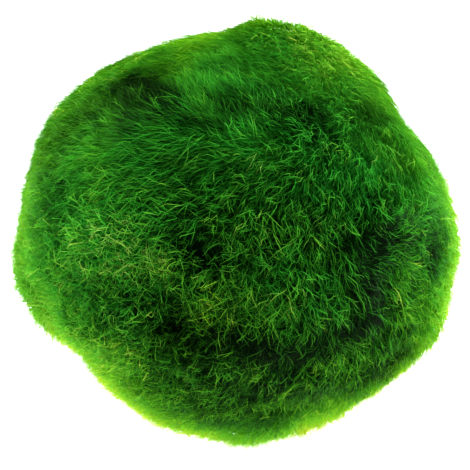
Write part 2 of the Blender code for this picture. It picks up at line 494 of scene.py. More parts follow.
# %% [markdown]
# ## Facts stored on the mat
# The coat is grown by a node tree, which can't call the functions above. So every point of the mat
# keeps its facts as attributes, which are named numbers on a mesh: which way the coat is combed
# there, how untidily it lies, how deep it is, its colour with its painted light and shade, its
# crispness, the length of its filaments, and how crowded they are.

# %% Store the facts
directions = [(v.co - MIDDLE).normalized() for v in mat_mesh.vertices]
pushes = [comb(d) for d in directions]
crowding = [crowding_at(d) for d in directions]


def store(name, values):
    """Stores a number or a vector for each point of the mat."""
    if isinstance(values[0], Vector):
        attribute = mat_mesh.attributes.new(name, "FLOAT_VECTOR", "POINT")
        attribute.data.foreach_set("vector", [c for v in values for c in v])
    else:
        attribute = mat_mesh.attributes.new(name, "FLOAT", "POINT")
        attribute.data.foreach_set("value", values)


store("comb", [p.normalized() for p in pushes])
store("unrest", [unrest_at(d, p) for d, p in zip(directions, pushes)])
store("depth", depths)
for name, usual, patches in (
    ("tone", TONE, TONE_PATCHES),
    ("warmth", WARMTH, WARMTH_PATCHES),
    ("gloom", PAINTED_SHADE, PAINTED_SHADE_PATCHES),
    ("crispness", CRISPNESS, CRISP_PATCHES),
):
    store(name, [usual + added_up(patches, d) for d in directions])
store("share", [length_at(d) for d in directions])
store("crowding", crowding)


def room(power):
    """The mat's area, with each part of it weighted by a power of its crowding."""
    parts = ((p.area, sum(crowding[v] for v in p.vertices) / 3) for p in mat_mesh.polygons)
    return sum(area * crowd**power for area, crowd in parts)


print("mat:", len(mat_mesh.attributes), "attributes,", round(room(0) / MM**2), "mm2")

# %% [markdown]
# ## Short words for node trees
# A node tree written in Python is a list of nodes and the wires between them. A few helpers keep
# that readable. `node` adds a node and feeds its inputs, each with a value or with another node's
# output, and `first` does the same and hands back its own output. `number`, `product`, `vector`,
# `blend` and `clamp` do a sum and hand back its result, so sums can be nested.


# %% Helpers for node trees
class Wiring:
    """A node tree and short ways to add to it."""

    def __init__(self, tree):
        self.tree = tree

    def node(self, kind, inputs=None, **settings):
        """Adds a node with the given settings and feeds the inputs named."""
        made = self.tree.nodes.new(kind)
        for name, value in settings.items():
            setattr(made, name, value)
        for name, value in (inputs or {}).items():
            if isinstance(name, int):
                socket = made.inputs[name]
            else:
                socket = next(s for s in made.inputs if s.enabled and s.name == name)
            for part in value if isinstance(value, list) else [value]:
                self.feed(socket, part)
        return made

    def feed(self, socket, value):
        """Feeds one input with a value or another node's output."""
        if isinstance(value, bpy.types.NodeSocket):
            self.tree.links.new(value, socket)
        else:
            socket.default_value = value

    def first(self, kind, inputs=None, **settings):
        """Adds a node and hands back its first working output."""
        return next(s for s in self.node(kind, inputs, **settings).outputs if s.enabled)

    def number(self, operation, *values):
        """A sum on numbers."""
        inputs = dict(enumerate(values))
        return self.first("ShaderNodeMath", inputs, operation=operation)

    def product(self, value, *others):
        """All the numbers multiplied."""
        for other in others:
            value = self.number("MULTIPLY", value, other)
        return value

    def vector(self, operation, a, b):
        """A sum on vectors. For SCALE, b is a number."""
        inputs = {0: a, "Scale": b} if operation == "SCALE" else {0: a, 1: b}
        return self.first("ShaderNodeVectorMath", inputs, operation=operation)

    def blend(self, share, a, b, kind="VECTOR"):
        """The vector or number that lies a share of the way from a to b."""
        return self.first("ShaderNodeMix", {"Factor": share, "A": a, "B": b}, data_type=kind)

    def clamp(self, value, least=0.0, most=1.0):
        """A number kept between two others."""
        return self.first("ShaderNodeClamp", {"Value": value, "Min": least, "Max": most})


print("helpers:", [name for name in vars(Wiring) if not name.startswith("_")])

# %% [markdown]
# ## How algae filaments look up close
# Each filament is a wet thread up to about 0.1 mm thick. It is nearly black where it leaves the
# mat, because no light gets there and old cells are dark, and it grows paler towards its tip. That
# dark is painted into its colour, as painted shade and the dark of old cells. Light also shines
# through it, which is why the edge of a marimo glows yellow-green against a window. The glow is
# partly painted too, as yellower colour low on the ball and at its sides.
#
# The colour is read from the filament's own UV map, which is a small palette: U is the warmth and
# V the brightness. With one palette for all the threads, it can be baked for other programs
# without a texture for each of them.

# %% The palette
# The blue of the cool colours is partly a painted sheen of wet threads.
# brightness, and the colour of a cool filament and of a warm one
COLOURS = [
    (0.00, (0.001, 0.008, 0.001), (0.002, 0.008, 0.001)),
    (0.15, (0.006, 0.070, 0.003), (0.015, 0.068, 0.004)),
    (0.35, (0.018, 0.290, 0.019), (0.070, 0.280, 0.005)),
    (0.52, (0.036, 0.520, 0.035), (0.160, 0.520, 0.008)),
    (0.68, (0.075, 0.680, 0.052), (0.290, 0.680, 0.010)),
    (0.85, (0.240, 0.840, 0.080), (0.480, 0.840, 0.016)),
    (1.00, (0.500, 0.920, 0.180), (0.760, 0.920, 0.050)),
]


def ramp(w, factor, stops):
    """A colour ramp. Each stop is a place from 0 to 1 and a colour."""
    made = w.node("ShaderNodeValToRGB", {"Fac": factor})
    elements = made.color_ramp.elements
    while len(elements) < len(stops):
        elements.new(0.5)
    for element, (place, colour) in zip(elements, stops):
        element.position = place
        element.color = (*colour, 1)
    return made.outputs["Color"]


def palette(w, warmth, brightness):
    """The colour of algae of a given warmth and brightness."""
    cool = ramp(w, brightness, [(stop, cool) for stop, cool, _ in COLOURS])
    warm = ramp(w, brightness, [(stop, warm) for stop, _, warm in COLOURS])
    return w.blend(warmth, cool, warm, "RGBA")


print("palette:", len(COLOURS), "shades from cool to warm")

# %% The filaments' material
UV_NAME = "OFBake"
WET_ROUGHNESS = 0.4
WET_SHINE = 0.025
LIT_THROUGH = 0.4  # this share of the light that a filament shows comes through it
THROUGH = (1.4, 1.05, 0.5)  # and that light is yellower


def new_material(name):
    """A material with an empty node tree, its wiring and its output."""
    material = bpy.data.materials.new(name)
    material.use_nodes = True
    material.node_tree.nodes.clear()
    wiring = Wiring(material.node_tree)
    return material, wiring, wiring.node("ShaderNodeOutputMaterial")


def filament_material():
    """Dark or pale, cool or warm, wet, and lit through."""
    material, w, output = new_material("moss_filament")
    place = w.first("ShaderNodeUVMap", uv_map=UV_NAME)
    split = w.node("ShaderNodeSeparateXYZ", {"Vector": place})
    colour = palette(w, split.outputs["X"], split.outputs["Y"])
    surface = w.first(
        "ShaderNodeBsdfPrincipled",
        {"Base Color": colour, "Roughness": WET_ROUGHNESS, "Specular IOR Level": WET_SHINE},
    )
    glow = w.vector("MULTIPLY", colour, THROUGH)
    through = w.first("ShaderNodeBsdfTranslucent", {"Color": glow})
    mixed = w.first("ShaderNodeMixShader", {0: LIT_THROUGH, 1: surface, 2: through})
    w.feed(output.inputs["Surface"], mixed)
    return material


filament = filament_material()
print("material:", filament.name)

# %% [markdown]
# ## The mat's material
# Little of the mat shows. It is what is seen at the bottom of the gaps between the filaments.
# Where the coat is crisp, the gaps are almost black, the mat's own dark deepened by painted shade.
# Where it is soft and light, the mat takes the coat's colour, painted light and shade included, or
# it would show as dark specks. It reads the facts stored on it. It is mottled, and rough with the
# stubs of filaments.

# %% The mat's material
MAT_TONE = 1.3  # the mat's brightness, as a share of the coat's, where the coat is soft
MOTTLES = {"Scale": 600.0, "Detail": 3.0}  # the scale is the number to a metre
STUBS = {"Scale": 5000.0, "Detail": 4.0}
STUB_RELIEF = {"Strength": 0.8, "Distance": 0.3 * MM}
DRY_ROUGHNESS = 0.9


def mat_material():
    """Mottled felt with a fine matted relief."""
    material, w, output = new_material("moss_mat")
    place = w.node("ShaderNodeTexCoord").outputs["Object"]
    mottle = w.first("ShaderNodeTexNoise", {"Vector": place, **MOTTLES})
    stubs = w.first("ShaderNodeTexNoise", {"Vector": place, **STUBS})
    tone, warmth, crispness = (
        w.node("ShaderNodeAttribute", attribute_name=name).outputs["Fac"]
        for name in ("tone", "warmth", "crispness")
    )
    softness = w.product(w.clamp(w.number("SUBTRACT", 1.0, crispness)), MAT_TONE)
    brightness = w.product(tone, softness, mottle)
    surface = w.first(
        "ShaderNodeBsdfPrincipled",
        {
            "Base Color": palette(w, warmth, brightness),
            "Roughness": DRY_ROUGHNESS,
            "Specular IOR Level": 0.0,
            "Normal": w.first("ShaderNodeBump", {"Height": stubs, **STUB_RELIEF}),
        },
    )
    w.feed(output.inputs["Surface"], surface)
    return material


mat_finish = mat_material()
print("material:", mat_finish.name)

# %% [markdown]
# ## Growing the coat with Geometry Nodes
# One tree grows any layer of the coat. It works in five steps, and each of them has a cell below.
#
# 1. Scatter roots over the mat, and a second, sparser set of points, one for each tuft.
# 2. At each root, work out a start, a knee and a tip for the filament.
# 3. Work out its tone and its warmth.
# 4. Copy a short straight line to each root, and bend it into a wavy arc through start, knee and
#    tip.
# 5. Give the line a thickness that runs out to a point, and store its colour as UVs.
#
# Particles or hair curves would be quicker to make, but many programs can't read them. Meshes
# with few faces, from 4 to 26 triangles to a filament, are read everywhere. What differs from
# layer to layer is an input of the tree, so one tree is enough for all of them.

# %% The tree's sizes
SIZES = [
    # name, kind, usual value
    ("Density", "NodeSocketFloat", 2.0 / MM**2),  # roots to a square metre
    ("Crowding", "NodeSocketFloat", 1.0),  # the power of the mat's crowding that they follow
    ("Seed", "NodeSocketInt", 1),
    ("Points", "NodeSocketInt", 4),  # along a filament
    ("Forked", "NodeSocketBool", True),  # each filament has a side branch
    ("Thickness", "NodeSocketFloat", 0.085 * MM),
    ("Reach", "NodeSocketFloat", 2.4 * MM),  # how far it lies along the comb
    ("Start", "NodeSocketFloat", 0.3),  # where it leaves an older one, as a share of its height
    ("Lift", "NodeSocketFloat", 1.25),  # its height, as a share of the coat's depth
    ("Swing", "NodeSocketFloat", 16.0),  # degrees that it may turn away from its tuft
    ("Tuft spacing", "NodeSocketFloat", 0.9 * MM),
    ("Tuft swing", "NodeSocketFloat", 14.0),  # degrees that a tuft may turn away from the comb
    ("Gathering", "NodeSocketFloat", 0.25),  # how far its tip is drawn to its tuft's tip
    ("Wave", "NodeSocketFloat", 1.1 * MM),  # how far its waves swing
    ("Waves", "NodeSocketFloat", 3.0),  # and how many there are
    ("Tone shift", "NodeSocketFloat", 0.0),  # how much paler it is than the place
    # Gloom is the place's painted shade, and each layer takes a share of it.
    ("Gloom", "NodeSocketFloat", 0.35),  # how much of the place's gloom it takes
    ("Tone spread", "NodeSocketFloat", 0.2),  # how much the filaments differ in tone
    ("Material", "NodeSocketMaterial", None),
]


def new_tree(name):
    """A geometry tree with a mesh in, a mesh out and the sizes above as inputs."""
    tree = bpy.data.node_groups.new(name, "GeometryNodeTree")
    sockets = tree.interface
    sockets.new_socket("Mat", in_out="INPUT", socket_type="NodeSocketGeometry")
    sockets.new_socket("Coat", in_out="OUTPUT", socket_type="NodeSocketGeometry")
    for size, kind, usual in SIZES:
        socket = sockets.new_socket(size, in_out="INPUT", socket_type=kind)
        if usual is not None:
            socket.default_value = usual
    return tree


print("sizes:", len(SIZES))

# %% Helpers for the tree
EITHER_WAY = (-1.0, 1.0)
UNEVEN_WIDTH = 2.0 * MM  # the coat is uneven in patches about this wide


def capture(w, geometry, kind, **fields):
    """Fixes fields on a geometry, and hands back the geometry and the fixed fields by name."""
    keeper = w.tree.nodes.new("GeometryNodeCaptureAttribute")
    for name in fields:
        keeper.capture_items.new(kind, name)
    w.feed(keeper.inputs["Geometry"], geometry)
    for name, field in fields.items():
        w.feed(keeper.inputs[name], field)
    return keeper.outputs["Geometry"], {name: keeper.outputs[name] for name in fields}


def noted(w, name, kind="FLOAT"):
    """An attribute that the mat carries."""
    return w.first("GeometryNodeInputNamedAttribute", {"Name": name}, data_type=kind)


def chance(w, span, seed, tuft=None):
    """A random number from a span, for each filament or for each tuft, with a seed of its own."""
    inputs = {"Min": span[0], "Max": span[1], "Seed": seed}
    if tuft is not None:
        inputs["ID"] = tuft
    return w.first("FunctionNodeRandomValue", inputs, data_type="FLOAT")


def uneven(w, place):
    """A smooth noise over the ball, from about -0.5 to 0.5."""
    inputs = {"Vector": w.vector("SCALE", place, 1 / UNEVEN_WIDTH), "Scale": 1.0, "Detail": 1.0}
    return w.number("SUBTRACT", w.first("ShaderNodeTexNoise", inputs), 0.5)


def turned(w, direction, axis, degrees):
    """A direction turned about an axis."""
    inputs = {"Vector": direction, "Axis": axis, "Angle": w.number("RADIANS", degrees)}
    return w.first("ShaderNodeVectorRotate", inputs, rotation_type="AXIS_ANGLE")


print("uneven patches:", UNEVEN_WIDTH / MM, "mm wide")

# %% [markdown]
# ### Step 1: roots and tufts
# Wet filaments cling together in tufts. The tufts are spread evenly, with a least distance
# between them, and the roots at random. Each root belongs to the tuft that is nearest to it.

# %% Roots and tufts
TUFT_SEED = 5
TUFTS_TRIED = 4 / MM**2  # to a square metre, before those too near to another one are dropped

# what each root knows: its points, place and normal, its tuft's number and place, and how
# untidily and how unevenly the coat lies there
Root = namedtuple("Root", "points place normal tuft tuft_place unrest uneven")


def scatter_roots(w, size):
    """Roots all over the mat, with the tuft that each of them is in."""
    crowding = w.number("POWER", noted(w, "crowding"), size["Crowding"])
    scatter = w.node(
        "GeometryNodeDistributePointsOnFaces",
        {
            "Mesh": size["Mat"],
            "Density": w.product(size["Density"], crowding),
            "Seed": size["Seed"],
        },
        distribute_method="RANDOM",
    )
    tufts = w.first(
        "GeometryNodeDistributePointsOnFaces",
        {
            "Mesh": size["Mat"],
            "Distance Min": size["Tuft spacing"],
            "Density Max": TUFTS_TRIED,
            "Seed": TUFT_SEED,
        },
        distribute_method="POISSON",
    )
    place = w.first("GeometryNodeInputPosition")
    tuft = w.first("GeometryNodeSampleNearest", {"Geometry": tufts, "Sample Position": place})
    tuft_place = w.first(
        "GeometryNodeSampleIndex",
        {"Geometry": tufts, "Value": place, "Index": tuft},
        data_type="FLOAT_VECTOR",
    )
    points, normal = scatter.outputs["Points"], scatter.outputs["Normal"]
    return Root(points, place, normal, tuft, tuft_place, noted(w, "unrest"), uneven(w, place))


print("each root knows its", ", ".join(Root._fields))

# %% [markdown]
# ### Step 2: start, knee and tip
# A filament often branches off an older one partway up. So it starts there, rises to its knee and
# then lies down along the comb. Everything in a tuft leans the same way, and its tips draw
# together. Nothing stands far out of the solid.

# %% Start, knee and tip
# The least and the most of what varies from tuft to tuft and from filament to filament, as a
# share of what is usual
TUFT_REACH = (0.75, 1.25)
OWN_REACH = (0.6, 1.2)
TUFT_HEIGHT = (0.8, 1.1)
OWN_HEIGHT = (0.55, 1.15)
KNEE_HEIGHT = (0.75, 1.15)
TUFT_GATHERING = (0.3, 1.3)
FORK = (0.2, 0.6)  # where along a filament its side branch leaves
ASIDE = (0.15, 0.4)  # how far to one side the branch goes, as a share of the reach

KNEE = 0.2  # how far along the reach the knee is
UNEVEN_HEIGHT = 0.5  # how much the uneven patches change the height
SHORTENING = -0.5  # an untidy filament is shorter, by this power of its unrest
PROUD = 1.0 * MM  # a tuft may rise this far out of the solid, and single filaments some more
BALL_BEND = 0.5 / RADIUS  # how quickly the ball falls away under a filament that lies on it


def point_ahead(w, normal, start, way, reach, lift):
    """The point that lies `reach` ahead of the start and `lift` above the mat."""
    drop = w.product(reach, reach, BALL_BEND)
    up = w.vector("SCALE", normal, w.number("SUBTRACT", lift, drop))
    return w.vector("ADD", w.vector("ADD", start, w.vector("SCALE", way, reach)), up)


def course(w, size, root):
    """The start, the knee and the tip of a filament, and how far aside its branch goes."""
    normal, tuft = root.normal, root.tuft
    tuft_swing = w.product(size["Tuft swing"], root.unrest)
    own_swing = w.product(size["Swing"], root.unrest)
    tuft_turn = w.product(chance(w, EITHER_WAY, 1, tuft), tuft_swing)
    own_turn = w.product(chance(w, EITHER_WAY, 2), own_swing)
    tuft_way = turned(w, noted(w, "comb", "FLOAT_VECTOR"), normal, tuft_turn)
    way = turned(w, tuft_way, normal, own_turn)

    share = noted(w, "share")
    calm = w.number("POWER", root.unrest, SHORTENING)
    tuft_reach = w.product(size["Reach"], calm, share, chance(w, TUFT_REACH, 3, tuft))
    reach = w.product(tuft_reach, chance(w, OWN_REACH, 4))
    depth = noted(w, "depth")
    bumps = w.number("MULTIPLY_ADD", root.uneven, UNEVEN_HEIGHT, 1.0)
    height = w.product(depth, size["Lift"], share, bumps, chance(w, TUFT_HEIGHT, 11, tuft))
    height = w.number("MINIMUM", height, w.number("ADD", depth, PROUD))
    lift = w.product(height, chance(w, OWN_HEIGHT, 5))

    start_lift = w.product(lift, size["Start"])
    start = point_ahead(w, normal, root.place, way, 0.0, start_lift)
    knee_lift = w.product(lift, chance(w, KNEE_HEIGHT, 6))
    knee = point_ahead(w, normal, root.place, way, w.product(reach, KNEE), knee_lift)
    own_tip = point_ahead(w, normal, root.place, way, reach, lift)
    tuft_tip = point_ahead(w, normal, root.tuft_place, tuft_way, tuft_reach, height)
    gathered = w.product(size["Gathering"], chance(w, TUFT_GATHERING, 7, tuft))
    tip = w.blend(gathered, own_tip, tuft_tip)

    left_or_right = w.number("SIGN", chance(w, EITHER_WAY, 13))
    side = w.product(left_or_right, reach, chance(w, ASIDE, 14))
    aside = w.vector("SCALE", w.vector("CROSS_PRODUCT", normal, way), side)
    return {"start": start, "knee": knee, "tip": tip, "aside": aside}


print("knee:", KNEE, "of the way, tufts: up to", PROUD / MM, "mm proud of the solid")

# %% [markdown]
# ### Step 3: tone and warmth
# The tone of a filament is that of its place, with the painted light and shade in it. It is
# changed a little by the patch that it is in, by its tuft and by the filament itself, and darkened
# by a share of the place's painted shade. A few are paler than all the rest, partly young growth
# and partly painted glints. Where the coat is soft the filaments differ less from each other.

# %% Tone and warmth
BRIGHTEST = 1.08  # the tone that the others fall short of
UNEVEN_TONE = 0.24  # how much the uneven patches change the tone
TUFT_SPREAD = 0.7  # how much the tufts differ in tone, as a share of what filaments do
# The pale filaments are partly young growth and partly painted glints.
PALE_GLINT_SHARE = 0.07  # one filament in fourteen is a young, pale one
PALE_GLINT_TONE = 0.16  # and it is this much paler
WARMTH_SPREAD = 0.12  # how much the tufts differ in warmth


def colouring(w, size, root):
    """The tone and the warmth of a filament, and how crisply it stands out."""
    gloom = w.product(noted(w, "gloom"), size["Gloom"])
    tuft_warmth = chance(w, EITHER_WAY, 16, root.tuft)
    warmth = w.number("MULTIPLY_ADD", tuft_warmth, WARMTH_SPREAD, noted(w, "warmth"))
    crispness = noted(w, "crispness")
    tone = w.number("ADD", noted(w, "tone"), size["Tone shift"])
    spread = w.product(size["Tone spread"], w.number("SUBTRACT", BRIGHTEST, tone))
    tuft_spread = w.product(spread, TUFT_SPREAD)
    own_spread = w.product(spread, crispness)
    pale = w.number("GREATER_THAN", chance(w, (0.0, 1.0), 15), 1 - PALE_GLINT_SHARE)
    tone = w.number("MULTIPLY_ADD", root.uneven, UNEVEN_TONE, tone)
    tone = w.number("MULTIPLY_ADD", chance(w, EITHER_WAY, 8, root.tuft), tuft_spread, tone)
    tone = w.number("MULTIPLY_ADD", chance(w, EITHER_WAY, 9), own_spread, tone)
    tone = w.number("MULTIPLY_ADD", pale, PALE_GLINT_TONE, tone)
    tone = w.number("SUBTRACT", tone, gloom)
    return {"tone": tone, "warmth": warmth, "crispness": crispness}


print("pale filaments: one in", round(1 / PALE_GLINT_SHARE))

# %% [markdown]
# ### Step 4: lines bent into wavy arcs
# A line is copied to each root, and a shorter one for the side branch. Every point of a line knows
# how far it is from the root, so it can be blended from start to knee to tip. A little smooth
# noise makes the line wavy, most of all near its tip.

# %% Lines bent into wavy arcs
BRANCH_LENGTH = 0.5  # as a share of the filament's
BRANCH_DRIFT = 2.0  # a branch runs this far aside in the noise, so its waves are its own
NOISE_REGION = 90.0  # each filament starts somewhere in a block of noise this big
CALM = 0.5  # how much of the untidiness it takes before a filament turns wavy


def start_lines(w, size, points):
    """A straight line at each root, and one more for its branch where the layer is forked."""
    line = w.first("GeometryNodeCurvePrimitiveLine", {"End": (0, 0, MM)})
    main = w.first("GeometryNodeResampleCurve", {"Curve": line, "Count": size["Points"]})
    fewer = w.number("SUBTRACT", size["Points"], 1.0)
    branch = w.first("GeometryNodeResampleCurve", {"Curve": line, "Count": fewer})
    branch, mark = capture(w, branch, "FLOAT", branch=1.0)
    inputs = {"Switch": size["Forked"], "True": branch}
    branch = w.first("GeometryNodeSwitch", inputs, input_type="GEOMETRY")
    both = w.first("GeometryNodeJoinGeometry", {"Geometry": [main, branch]})
    lines = w.first("GeometryNodeInstanceOnPoints", {"Points": points, "Instance": both})
    lines = w.first("GeometryNodeRealizeInstances", {"Geometry": lines})
    lines, on = capture(w, lines, "FLOAT", along=w.first("GeometryNodeSplineParameter"))
    return lines, on["along"], mark["branch"]


def wave(w, size, at, from_root, away):
    """How far a point of a line is moved by the noise."""
    x = w.product(from_root, size["Waves"])
    in_noise = w.first("ShaderNodeCombineXYZ", {"X": x, "Y": w.product(away, BRANCH_DRIFT)})
    in_noise = w.vector("ADD", at["phase"], in_noise)
    noise = w.node("ShaderNodeTexNoise", {"Vector": in_noise, "Scale": 1.0, "Detail": 0.0})
    sway = w.vector("SUBTRACT", noise.outputs["Color"], (0.5, 0.5, 0.5))
    unrest = w.number("SUBTRACT", at["unrest"], CALM)
    return w.vector("SCALE", sway, w.product(size["Wave"], unrest, from_root))


def bend(w, size, lines, at, along, is_branch):
    """Bends each line into its arc, and hands back how far its points are from the root."""
    on_branch = w.number("MULTIPLY_ADD", along, BRANCH_LENGTH, at["fork"])
    from_root = w.blend(is_branch, along, on_branch, "FLOAT")
    rising = w.blend(from_root, at["start"], at["knee"])
    lying = w.blend(from_root, at["knee"], at["tip"])
    arc = w.blend(from_root, rising, lying)
    away = w.product(is_branch, along)
    arc = w.vector("ADD", arc, w.vector("SCALE", at["aside"], away))
    place = w.vector("ADD", arc, wave(w, size, at, from_root, away))
    split = w.node("ShaderNodeSeparateXYZ", {"Vector": place}).outputs
    off_floor = w.number("MAXIMUM", split["Z"], size["Thickness"])
    place = w.first("ShaderNodeCombineXYZ", {"X": split["X"], "Y": split["Y"], "Z": off_floor})
    lines = w.first("GeometryNodeSetPosition", {"Geometry": lines, "Position": place})
    return lines, from_root


print("branches:", BRANCH_LENGTH, "of a filament long")

# %% [markdown]
# ### Step 5: thickness and colour
# The line becomes a three-sided tube that runs out to a point. Its brightness falls off towards
# the root, as painted shade and the dark of old cells, more so where the coat is crisp. Warmth and
# brightness become the UVs, and a little of the distance along and around the tube is added, so no
# face is squeezed to nothing in the map.

# %% Thickness and colour
SIDES = 3
SIDE_RADIUS = 0.6  # with this radius, a side is about as wide as the filament is thick
TAPER = 0.3  # a low power keeps a filament thick until close to its tip
BRANCH_THINNER = 0.25  # as a share of the filament's thickness
AT_TIP = 0.999  # how far along a line its tip begins
SHADED_BELOW = 0.1  # from the root up to here a filament is at its darkest,
LIT_ABOVE = 0.9  # and above here at its brightest
SHADE_DEPTH = 0.85  # a root is short of this share of what its tip lacks of the brightest tone
EVEN_SHADE = 0.12  # the shade on the whole filament where the coat is soft
PALETTE_FROM, PALETTE_TO = 0.01, 0.98
UV_WIDTH = 0.01  # a filament takes up this much of the palette at least


def tubes(w, size, lines, along, is_branch):
    """Gives the lines their thickness, and hands back the turn round each tube."""
    slim = w.number("POWER", w.number("SUBTRACT", 1.0, along), TAPER)
    slim = w.product(slim, w.number("MULTIPLY_ADD", is_branch, -BRANCH_THINNER, 1.0))
    ring = {"Resolution": SIDES, "Radius": SIDE_RADIUS}
    ring = w.first("GeometryNodeCurvePrimitiveCircle", ring)
    ring, on = capture(w, ring, "FLOAT", turn=w.first("GeometryNodeSplineParameter"))
    inputs = {
        "Curve": lines,
        "Profile Curve": ring,
        "Scale": w.product(slim, size["Thickness"]),
        "Fill Caps": True,
    }
    return w.first("GeometryNodeCurveToMesh", inputs), on["turn"]


def brightness_along(w, at, from_root):
    """The brightness of a filament, which falls off towards its root as painted shade and the dark
    of old cells.
    """
    inputs = {"Value": from_root, "From Min": SHADED_BELOW, "From Max": LIT_ABOVE}
    shade = w.number("SUBTRACT", 1.0, w.first("ShaderNodeMapRange", inputs))
    more = w.number("SUBTRACT", shade, EVEN_SHADE)
    shade = w.number("MULTIPLY_ADD", more, at["crispness"], EVEN_SHADE)
    lacking = w.number("SUBTRACT", BRIGHTEST, at["tone"])
    return w.number("SUBTRACT", at["tone"], w.product(shade, SHADE_DEPTH, lacking))


def coloured(w, threads, at, from_root, turn):
    """Stores the place of each filament's colours in the palette."""
    v = w.clamp(brightness_along(w, at, from_root), PALETTE_FROM, PALETTE_TO)
    v = w.number("MULTIPLY_ADD", from_root, UV_WIDTH, v)
    u = w.clamp(at["warmth"], PALETTE_FROM, PALETTE_TO)
    u = w.number("MULTIPLY_ADD", turn, UV_WIDTH, u)
    place = w.first("ShaderNodeCombineXYZ", {"X": u, "Y": v})
    return w.first(
        "GeometryNodeStoreNamedAttribute",
        {"Geometry": threads, "Name": UV_NAME, "Value": place},
        data_type="FLOAT2",
        domain="CORNER",
    )


print("tubes:", SIDES, "sides")

# %% [markdown]
# ### The whole tree
# The steps are wired together. Most of what they work out belongs to the roots, and later nodes
# need it on the lines, so it is captured before the lines are made.


# %% The whole tree
def coat_tree():
    """Grows one layer of filaments on the mat."""
    tree = new_tree("grow_coat")
    w = Wiring(tree)
    size = w.node("NodeGroupInput").outputs
    root = scatter_roots(w, size)
    region = {"Min": (0, 0, 0), "Max": (NOISE_REGION,) * 3, "Seed": 10}
    phase = w.first("FunctionNodeRandomValue", region, data_type="FLOAT_VECTOR")
    points, at = capture(w, root.points, "VECTOR", **course(w, size, root), phase=phase)
    numbers = dict(colouring(w, size, root), fork=chance(w, FORK, 12), unrest=root.unrest)
    points, captured = capture(w, points, "FLOAT", **numbers)
    at.update(captured)

    lines, along, is_branch = start_lines(w, size, points)
    lines, from_root = bend(w, size, lines, at, along, is_branch)
    threads, turn = tubes(w, size, lines, along, is_branch)
    threads = coloured(w, threads, at, from_root, turn)
    is_tip = w.first("FunctionNodeCompare", {"A": along, "B": AT_TIP}, operation="GREATER_THAN")
    inputs = {"Geometry": threads, "Selection": is_tip, "Distance": JOINED}
    threads = w.first("GeometryNodeMergeByDistance", inputs)
    inputs = {"Geometry": threads, "Shade Smooth": True}
    threads = w.first("GeometryNodeSetShadeSmooth", inputs)
    threads = w.first("GeometryNodeRealizeInstances", {"Geometry": threads})
    inputs = {"Geometry": threads, "Material": size["Material"]}
    w.node("NodeGroupOutput", {"Coat": w.first("GeometryNodeSetMaterial", inputs)})
    return tree


grower = coat_tree()
print("tree:", len(grower.nodes), "nodes")

# %% [markdown]
# ## Running the tree
# A modifier runs the tree on a mesh. Its inputs are set by each socket's identifier. Then the
# result is kept as a plain mesh and the modifier goes, so what is left is only faces.


# %% Grow a layer
def put_on(piece):
    """Says what the piece is: part of the ball, in place of the solid."""
    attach(piece, BODY)
    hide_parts(SOLID)


def grow(name, **changes):
    """Grows one layer of the coat. The changes are to the sizes in SIZES, with _ for a space."""
    piece = bpy.data.objects.new(name, mat_mesh)
    bpy.context.scene.collection.objects.link(piece)
    modifier = piece.modifiers.new("grow", "NODES")
    modifier.node_group = grower
    wanted = {key.replace("_", " "): value for key, value in changes.items()}
    wanted["Material"] = filament
    for item in grower.interface.items_tree:
        if item.in_out == "INPUT" and item.name in wanted:
            modifier[item.identifier] = wanted.pop(item.name)
    if wanted:
        raise KeyError(f"no such size: {sorted(wanted)}")
    seen = piece.evaluated_get(bpy.context.evaluated_depsgraph_get())
    mesh = bpy.data.meshes.new_from_object(seen)
    piece.modifiers.clear()
    piece.data = mesh
    mesh.name = name
    put_on(piece)
    triangles = sum(len(p.vertices) - 2 for p in mesh.polygons)
    print(f"{name}: {triangles} triangles")
    return triangles


total = 0

# %% [markdown]
# ## The undercoat
# The bulk of the coat is a dense layer of thick, straight filaments that lie close along the comb
# and take all of the painted shade. It covers the mat evenly. It is grown in two pieces, so that
# no piece has more than 200,000 triangles. A number of filaments divided by the mat's `room` is
# their density.

# %% Grow the undercoat
for number in (1, 2):
    total += grow(
        f"undercoat_{number}",
        Density=38000 / room(0),
        Crowding=0.0,
        Seed=number,
        Points=2,
        Forked=False,
        Thickness=0.11 * MM,
        Start=0.6,
        Lift=1.0,
        Reach=3.0 * MM,
        Swing=16.0,
        Gloom=1.0,
    )

# %% [markdown]
# ## The middle coat
# Over it lie thinner, paler filaments with a knee, which grow where the coat is crowded. They turn
# either way and wave. The first piece takes more of the painted shade than the second, so the dark
# places have some depth.

# %% Grow the middle coat
for number, gloom in ((1, 0.7), (2, 0.4)):
    total += grow(
        f"middle_coat_{number}",
        Density=18500 / room(1),
        Seed=10 + number,
        Points=3,
        Forked=False,
        Thickness=0.07 * MM,
        Start=0.5,
        Lift=1.15,
        Reach=2.5 * MM,
        Swing=34.0,
        Gathering=0.06,
        Wave=1.5 * MM,
        Gloom=gloom,
        Tone_spread=0.34,
        Tone_shift=0.06,
    )

# %% [markdown]
# ## The topcoat
# These are the threads that are seen one by one. They are longer, paler and forked, with enough
# points along them to show a curve.

# %% Grow the topcoat
total += grow(
    "topcoat",
    Density=7300 / room(1),
    Seed=21,
    Thickness=0.074 * MM,
    Start=0.4,
    Lift=1.3,
    Reach=2.9 * MM,
    Swing=34.0,
    Gathering=0.05,
    Wave=1.5 * MM,
    Waves=2.8,
    Gloom=0.3,
    Tone_spread=0.46,
    Tone_shift=0.17,
)

# %% [markdown]
# ## The fuzz and the strays
# The thinnest filaments stand up between the others and blur the ball's edge. They are short, and
# a negative crowding puts most of them where the long ones are few. Last, a few hundred stray
# filaments have come loose from the comb.

